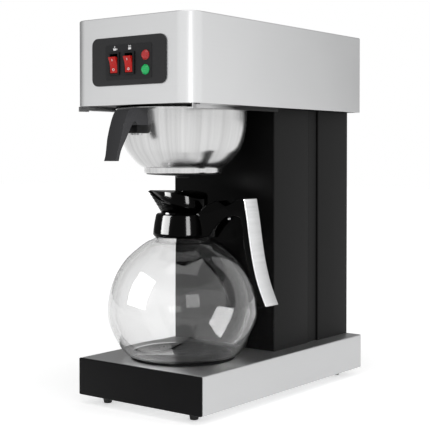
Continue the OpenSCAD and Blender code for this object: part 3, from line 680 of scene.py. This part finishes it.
# ---- Basket handle and bracket ----
# The handle is a heavy black moulding: an arm that runs out under the rim and a blade that curves down
# in front. It sits on a square bracket against the bowl, and two screws hold it from below.
low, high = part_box("basket_bracket")
bracket = block("basket_bracket_moulded", low, high)
hole_outline = [(0, rim_z)] + bowl_wall + [(0, bay_top - 67.4), (0, rim_z)]
minus(bracket, turned("bowl_space", hole_outline, steps=128))
eased(bracket, 0.8 * mm, 50)
done(bracket, black_plastic, "brew_basket", "black_plastic", "basket_bracket")
grip_black, wire = finish("grip_black", (0.008, 0.008, 0.0085), 0.3, Specular_IOR_Level=0.12)
(wire.noise((90, 90, 90), 3.0) * 0.12 + 0.2).feeds("Roughness")
wire.noise((1200, 1200, 1200), 2.0).bumps(0.06, 0.00002)
low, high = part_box("basket_handle")
front_end = low.y / mm
left_x, right_x = low.x / mm - 1, high.x / mm + 1
root_y = high.y / mm
outside = [(36, 3), (25, 4), (17.5, 10), (11.7, 22.7), (6.8, 38.6), (2.9, 54.5), (0, 61)]
finger_side = [(6, 61), (8.6, 50), (14.6, 38.6), (22.6, 25.6), (27.5, 19.2), (31.5, 19.2), (33.8, 22.2)]
curves = [through([(front_end + y, bay_top - z) for y, z in marks], 4) for marks in (outside, finger_side)]
blade = [(root_y, bay_top - 3)] + curves[0] + curves[1] + [(root_y, bay_top - 22.2)]
basket_handle = cut("basket_handle_moulded", blade, "X", low.x, high.x)
tip_x = 7.8
taper = [(left_x, bay_top), (left_x, bay_top - 24), (axis.x / mm - tip_x, bay_top - 63),
         (axis.x / mm + tip_x, bay_top - 63), (right_x, bay_top - 24), (right_x, bay_top)]
minus(basket_handle, cut("taper", taper, "Y", low.y - 5 * mm, high.y + 5 * mm), operation="INTERSECT")
minus(basket_handle, turned("bowl_space", hole_outline, steps=128))
eased(basket_handle, 1.7 * mm, 48, 4)
done(basket_handle, grip_black, "brew_basket", "black_plastic", "basket_handle")

# ---- Decanter glass ----
# A round-bellied decanter blown from clear heat-proof glass,
# with an open straight neck and a thick flat bottom.
glass, wire = finish("clear_glass", (0.9, 0.9, 0.9), 0.0, Transmission_Weight=1.0, IOR=1.45)
# The glass's colour darkens to black where it is seen at a grazing angle: painted shade on its edges.
glass_edge_shade = wire.node("LayerWeight", {}, {"Blend": 0.5}, 1)
glass_edge_shade_stops = [(0.0, 0.9), (0.5, 0.87), (0.78, 0.7), (0.92, 0.3), (1.0, 0.0)]
glass_edge_shade.node("ValToRGB", {"stops": glass_edge_shade_stops}, {0: glass_edge_shade}).feeds("Base Color")
film = wire.noise((60, 60, 25), 3.0)
(film * 0.02).feeds("Roughness")
low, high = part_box("carafe_glass")
glass_z = low.z / mm
mouth_z = high.z / mm
neck_r = 27.5
glass_t = 2.2
belly = through([(60, 0), (67, 3.2), (74, 13), (81.5, 27.2), (86.2, 42), (86.6, 56), (83.6, 75.2), (76.8, 93),
                 (66.1, 109.2), (53.5, 121), (41.8, 129.7), (33.1, 133.7), (29, 138.6), (neck_r, 144.6)], 5)
outer = [(r, glass_z + z) for r, z in belly] + [(neck_r, mouth_z - 0.6), (neck_r - 0.5, mouth_z)]
inner = []
for i in range(len(outer) - 1, 0, -1):
    a, b = outer[max(i - 1, 0)], outer[min(i + 1, len(outer) - 1)]
    run = math.hypot(b[0] - a[0], b[1] - a[1])
    inner.append((outer[i][0] - glass_t * (b[1] - a[1]) / run,
                  max(outer[i][1] + glass_t * (b[0] - a[0]) / run, glass_z + glass_t)))
inner[0] = (neck_r - glass_t, mouth_z)
outline = [(0, glass_z)] + outer + inner + [(60, glass_z + glass_t), (0, glass_z + glass_t)]
decanter = turned("carafe_glass_blown", outline, steps=160)
done(decanter, glass, "decanter", "clear_glass", "carafe_glass", angle=60)

# ---- Decanter collar ----
# A glossy black moulded collar is clamped around the neck and carries the handle.
gloss_black, wire = finish("gloss_black", (0.00002, 0.00002, 0.00002), 0.06, Specular_IOR_Level=0.045)
ripple = wire.noise((40, 40, 40), 2.0)
(ripple * 0.08 + 0.05).feeds("Roughness")
ripple.bumps(0.15, 0.0004)
collar_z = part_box("carafe_collar")[1].z / mm
collar_side = through([(32.4, glass_z + 135.8), (34.4, glass_z + 138.2), (34.5, glass_z + 141.4),
                       (33.4, glass_z + 150), (31.6, glass_z + 159), (30.9, glass_z + 161.4),
                       (29.5, collar_z)], 4)
collar_in = neck_r - glass_t - 0.8
outline = [(neck_r, mouth_z), (neck_r, glass_z + 145), (30, glass_z + 140), (31.9, glass_z + 136.4)] + \
    collar_side + [(collar_in, collar_z), (collar_in, mouth_z), (neck_r, mouth_z)]
collar = turned("carafe_collar_moulded", outline, steps=128)
done(collar, gloss_black, "decanter", "collar_gloss", "carafe_collar")

# ---- Pouring lip ----
# A black moulded funnel stands on the collar. It starts round and opens into a drop whose tip is the spout,
# and its rim leans down toward the handle.
lip_z = glass_z + 174.6
lean = math.radians(13.2)
spout = 46.5


def drop(radius, tip, count=64):
    """Marks of a drop-shaped outline: a round of one radius drawn out to a tip of another."""
    slope = math.acos((tip - radius) / -spout)
    marks = []
    for k in range(count):
        angle = 2 * math.pi * k / count
        wide = math.atan2(math.sin(angle), math.cos(angle))
        r, x = (tip, -spout) if abs(wide) > math.pi - slope else (radius, 0)
        marks.append((x + r * math.cos(wide), r * math.sin(wide)))
    return marks


def leaning(marks, rise):
    """The marks laid on the leaning rim plane, raised by rise."""
    run, fall = math.cos(lean), math.sin(lean)
    return [(x * run + rise * fall, y, lip_z - x * fall + rise * run) for x, y in marks]


def loft(name, rings):
    """A closed skin over rings of marks in millimetres about the brew axis, the last joined to the first."""
    for number, ring in enumerate(rings):
        points = [(axis.x + x * mm, axis.y + y * mm, z * mm) for x, y, z in ring]
        skin = draw(name, points + points[:1], more=number > 0)
        bpy.ops.mesh.remove_doubles(threshold=1e-6)
    bpy.ops.mesh.select_mode(type="EDGE")
    bpy.ops.mesh.select_all(action="SELECT")
    bpy.ops.mesh.bridge_edge_loops(type="CLOSED")
    outward()
    return skin


def funnel(round_r, radius, tip, rise, levels=6):
    """Rings from a circle just above the collar up to the leaning drop."""
    top = leaning(drop(radius, tip), rise)
    angles = [2 * math.pi * k / len(top) for k in range(len(top))]
    foot = [(round_r * math.cos(angle), round_r * math.sin(angle), collar_z + 2.2) for angle in angles]
    return [[tuple(p + (q - p) * k / levels for p, q in zip(a, b)) for a, b in zip(foot, top)]
            for k in range(levels + 1)]


out_rings = funnel(25.8, 31.6, 6.4, 0.6)
in_rings = funnel(24.5, 29.9, 4.8, 1.0)
edge_ring = leaning(drop(31.0, 5.8), 1.0)
out_foot = [(x, y, collar_z) for x, y, z in out_rings[0]]
in_foot = [(x, y, collar_z) for x, y, z in in_rings[0]]
lip_piece = loft("pouring_lip_moulded", [out_foot] + out_rings + [edge_ring] + in_rings[::-1] + [in_foot])
done(lip_piece, gloss_black, "decanter", "collar_gloss", "pouring_lip", angle=40)

# ---- Decanter lid ----
# A black lid plugs the neck and covers the lip up to the spout. Coffee falls through its middle hole,
# and drains past three holes around it.
low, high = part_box("carafe_lid")
cover_z = high.z / mm
plug_z = low.z / mm
hole_r = 6
outline = [(hole_r, plug_z), (25.2, plug_z), (25.2, mouth_z), (24.4, mouth_z + 0.2), (24.4, collar_z + 1.6),
           (23, collar_z + 1.6), (22.4, plug_z + 3), (8, plug_z + 3), (8, cover_z - 1.8),
           (hole_r, cover_z - 1.2), (hole_r, plug_z)]
plug = turned("carafe_lid_plug", outline)
drain_out, drain_r = 15.5 * mm, 4 * mm
for angle in (math.pi / 2, math.pi, 3 * math.pi / 2):
    spot = (axis.x + drain_out * math.cos(angle), axis.y + drain_out * math.sin(angle), 0)
    minus(plug, rod(spot, drain_r, (plug_z - 1) * mm, (plug_z + 5) * mm, sides=32))
done(plug, black_plastic, "decanter", "black_plastic")
ax = axis.x / mm
ay = axis.y / mm


def plan(radius, tip):
    """The drop outline in plan, about the brew axis."""
    return [(ax + x, ay + y) for x, y in drop(radius, tip, 96)]


def keep_below(piece, name, outline):
    """Cuts the piece to a side outline, given about the brew axis in millimetres."""
    low, high = axis.y - 40 * mm, axis.y + 40 * mm
    minus(piece, cut(name, [(ax + x, z) for x, z in outline], "Y", low, high), operation="INTERSECT")


top_line = [(-54.5, cover_z), (-10, cover_z)] + \
    through([(-8, cover_z), (4, 242), (12, 240.6), (19, 238.6), (24, 236.6), (29, 234), (40, 228)], 3)
cover = cut("carafe_lid_cover", plan(28.4, 3.5), "Z", plug_z * mm, (cover_z + 20) * mm)
keep_below(cover, "profile", top_line + [(40, 220.6), (-40, 239.4), (-54.5, 242.8)])
eased(cover, 1.1 * mm, 45, 4)
inside = cut("inside", plan(26.9, 2), "Z", (plug_z - 5) * mm, (cover_z + 20) * mm)
keep_below(inside, "under", [(-60, cover_z - 2), (-9, cover_z - 2), (4, 240), (12, 238.6), (19, 236.6),
                             (24, 234.6), (28, 232), (31, 230.4), (31, 215), (-60, 215)])
minus(cover, inside, rod(axis, hole_r * mm, (plug_z - 5) * mm, (cover_z + 5) * mm))
done(cover, gloss_black, "decanter", "black_plastic", "carafe_lid")
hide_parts("carafe_lid")

# ---- Decanter handle ----
# One black moulding runs from the collar over a ribbed thumb rest and down in a long grip.
# The finger side is rounded, and the outer side has a flat seat for the steel strip.
grip_line = through([(96, 236.5), (98, 226), (100.5, 212), (103.4, 193), (108, 168.2), (114.8, 144.5),
                     (125, 121.5)], 4)
thumb_line = through([(30, 221), (38, 227), (47, 230.6), (55.5, 233.6), (61, 230.6), (67, 228.4), (74, 230.4),
                      (82, 234.4), (90, 236.3)], 4)
palm_line = through([(112.5, 122.5), (104, 144.5), (97, 168.2), (92.6, 189), (91.4, 204), (88.4, 214),
                     (80, 216.9), (71, 215.6), (62, 211), (53.5, 203.5), (48, 197), (44, 191.6)], 4)
strip_t = 1.8
half_w = 10 * mm
seat_line = [(x - strip_t - 0.02, z) for x, z in grip_line]
side_line = [(20, 216)] + thumb_line + seat_line + [(115.5, 120)] + palm_line + [(20, 191.6)]
outline = [(ax + x, z) for x, z in side_line]
handle = cut("carafe_handle_moulded", outline, "Y", axis.y - half_w, axis.y + half_w)
eased(handle, 1.6 * mm, 60, 4)
rib_w = 7.4 * mm
for k in range(7):
    spot = (axis.x + (38.5 + k * 2.5) * mm, 0, (227.2 + k * 1.05) * mm)
    minus(handle, rod(spot, 0.75 * mm, axis.y - rib_w, axis.y + rib_w, "Y", 12), operation="UNION")
space = [(0, 150), (32.4, 150)] + collar_side + \
    [(29.5, collar_z + 1), (33.2, collar_z + 14), (33.2, 252), (0, 252)]
minus(handle, turned("collar_space", space, steps=128))
done(handle, gloss_black, "decanter", "black_plastic", "carafe_handle")

# ---- Handle strip ----
# A polished steel strip, bent to the same curve, lies on the outside of the grip over its whole length.
strip_steel, wire = finish("polished_steel", (0.78, 0.785, 0.79), 0.2, 1.0)
line = wire.noise((1600, 14, 14), 2.0)
(line * 0.12 + 0.12).feeds("Roughness")
line.tone((0.66, 0.665, 0.67), (0.82, 0.825, 0.83)).feeds("Base Color")
line.bumps(0.04, 0.00002)
low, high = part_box("handle_strip")
outline = grip_line + [(x - strip_t, z) for x, z in reversed(grip_line)]
strip = cut("handle_strip_sprung", [(ax + x, z) for x, z in outline], "Y", low.y, high.y)
eased(strip, 0.5 * mm, 45)
done(strip, strip_steel, "decanter", "strip_steel", "handle_strip")

# ---- Handle screw ----
# A steel screw holds the handle from above, in the dip behind the thumb rest. Its head has a cross recess.
low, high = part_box("handle_screw")
middle = (low + high) / 2
head_z = high.z / mm
shank_z = low.z / mm
outline = [(0, shank_z), (1.8, shank_z), (1.8, head_z - 1.8), (3.3, head_z - 1.6)] + \
    through([(3.4, head_z - 1.1), (2.6, head_z - 0.4), (0, head_z)], 4)
screw = turned("handle_screw_cross", outline, middle, 32)
for a, b in ((2 * mm, 0.35 * mm), (0.35 * mm, 2 * mm)):
    minus(screw, block("slot", (middle.x - a, middle.y - b, high.z - 0.9 * mm),
                       (middle.x + a, middle.y + b, high.z + mm)))
done(screw, strip_steel, "decanter", "plain_steel", "handle_screw")

# ---- Inner works and small parts ----
# What stays as the frame gives it: boiler, tubes, the heater under the plate, rails, basin, hinge, screws.
# Each gets the finish of its own stuff. The rails' colour darkens toward the rear of the bay: painted shade, for
# the shadow deep in the bay.
# Rail steel: light at the front and near black at the rear of the bay, a painted shade.
rail_steel_painted_shade, wire = finish("rail_steel_painted_shade", (0.5, 0.5, 0.5), 0.4, 1.0)
depth = wire.node("SeparateXYZ", {}, {"Vector": wire.spot()}, 1)
depth = depth + wire.noise((60, 60, 400), 2.0) * 0.02
depth = depth.node("MapRange", {}, {0: depth, 1: -0.115, 2: -0.065, 3: 0.0, 4: 1.0})
depth.tone((0.55, 0.55, 0.555), (0.03, 0.03, 0.03)).feeds("Base Color")
plain = brushed("mill_steel", (0.62, 0.625, 0.63), 0.36, (300, 300, 300))
ceramic, wire = finish("ceramic", (0.8, 0.77, 0.68), 0.6)
wire.noise((400, 400, 400), 3.0).bumps(0.3, 0.0001)
copper, wire = finish("copper", (0.7, 0.38, 0.22), 0.35, 1.0)
(wire.noise((50, 50, 50), 3.0) * 0.2 + 0.25).feeds("Roughness")
silicone, wire = finish("silicone", (0.82, 0.82, 0.79), 0.45, Subsurface_Weight=0.1)
wire.noise((200, 200, 200), 2.0).bumps(0.1, 0.0001)
spray, wire = finish("spray_plastic", (0.78, 0.78, 0.75), 0.4)
wire.noise((300, 300, 300), 2.0).bumps(0.1, 0.00005)
finishes = {"plain_steel": plain, "brushed_steel": brushed_steel, "black_paint": column_paint,
            "ceramic": ceramic, "copper_bulb": copper, "silicone_tube": silicone, "spray_plastic": spray,
            "black_plastic": black_plastic, "rails": rail_steel_painted_shade}
for part in frame["record"]["subparts"]:
    node = nodes[part["node"]]
    kind = "rails" if part["node"] == "basket_rails" else part["material_slot"]
    if not node.hide_render and kind in finishes:
        node.data.materials.clear()
        node.data.materials.append(finishes[kind])

# ---- Floor ----
# A plain white table under the machine, lit so that it runs into the white room.
floor_white, wire = finish("floor_white", (0.9, 0.9, 0.9), 0.9, Specular_IOR_Level=0.1,
                           Emission_Strength=0.46)
mottle = wire.noise((3, 3, 3), 2.0)
mottle.tone((0.895, 0.895, 0.895), (0.905, 0.905, 0.905)).feeds("Base Color", "Emission Color")
start()
bpy.ops.mesh.primitive_plane_add(size=14, location=(0, 0, 0))
floor = bpy.context.object
floor.name = "floor"
floor.data.materials.append(floor_white)

# ---- Light ----
# A white room that is seen as plain white, while its light is strongest from the right and the front
# and weak from the back left. All soft boxes but the one above light chosen pieces only.
world = bpy.data.worlds.new("studio")
bpy.context.scene.world = world
world.use_nodes = True
room = Wire(world.node_tree)
way = [room.node("SeparateXYZ", {}, {"Vector": room.spot(0)}, k) for k in range(3)]
right = way[0].math("MAXIMUM", way[0], 0.0)
ahead = way[1] * -1
ahead = ahead.math("MAXIMUM", ahead, 0.0)
up = way[2].math("MAXIMUM", way[2], 0.0)
shine = right * 1.1 + ahead * 0.85 + up * 0.2 + 0.22
shine = shine.math("MINIMUM", shine, 1.02)
seen = room.node("LightPath", {}, {}, 0) + room.node("LightPath", {}, {}, 6)
seen = seen.math("MINIMUM", seen, 1.0)
background = world.node_tree.nodes["Background"]
background.inputs["Color"].default_value = (1, 1, 1, 1)
world.node_tree.links.new((seen + (1 - seen) * shine).socket, background.inputs["Strength"])


def light_set(name, *pieces):
    """A collection that a soft box can be limited to."""
    made = bpy.data.collections.new(name)
    for piece in pieces:
        made.objects.link(piece)
    return made


def soft_box(name, place, aim, width, height, power, lights=None):
    """A rectangular light at place, turned toward aim; with lights it shines on that collection alone."""
    lamp = bpy.data.lights.new(name, "AREA")
    lamp.shape, lamp.size, lamp.size_y, lamp.energy = "RECTANGLE", width, height, power
    box = bpy.data.objects.new(name, lamp)
    bpy.context.scene.collection.objects.link(box)
    box.location = place
    box.rotation_euler = (Vector(aim) - Vector(place)).to_track_quat("-Z", "Y").to_euler()
    if lights:
        box.light_linking.receiver_collection = lights


clear_set = light_set("clear pieces", decanter, strip)
left_set = light_set("black pieces", collar, lip_piece, cover)
right_set = light_set("black pieces to the camera", collar, lip_piece, cover, handle, basket_handle)
upper_set = light_set("black pieces to the upper left", handle, lip_piece, cover)
far_left = (-0.95, -1.35, 0.8)
soft_box("box_left_clear", far_left, (0, 0, 0.15), 1.1, 1.2, 42, clear_set)
soft_box("box_right_clear", (1.2, -0.95, 0.6), (0, 0, 0.2), 0.55, 0.5, 2, clear_set)
soft_box("box_left_black", far_left, (0, 0, 0.15), 1.1, 1.2, 700, left_set)
soft_box("box_right_black", (1.3, -0.85, 0.5), (0, 0, 0.2), 0.4, 0.9, 130, right_set)
soft_box("box_upper_left", (-0.95, -0.4, 1.1), (0, 0, 0.2), 0.45, 0.45, 150, upper_set)
soft_box("box_corner", (1.3, -1.06, 0.35), (0, 0, 0.3), 0.12, 1.2, 2.4, light_set("head", head))
soft_box("box_above", (0.2, -0.3, 1.9), (0, 0, 0), 1.4, 1.4, 6)

# ---- Camera ----
# A product view from the front right, a little above the middle of the machine.
lens_data = bpy.data.cameras.new("camera")
camera = bpy.data.objects.new("camera", lens_data)
bpy.context.scene.collection.objects.link(camera)
lens_data.sensor_width, lens_data.lens = 36, 88.18
lens_data.shift_x, lens_data.shift_y = 0.00164, -0.08487
camera.location = (0.750597, -1.009566, 0.284908)
camera.rotation_euler = (math.radians(88.7), 0, math.radians(37.6145))
bpy.context.scene.camera = camera
bpy.context.scene.view_settings.view_transform = "Standard"
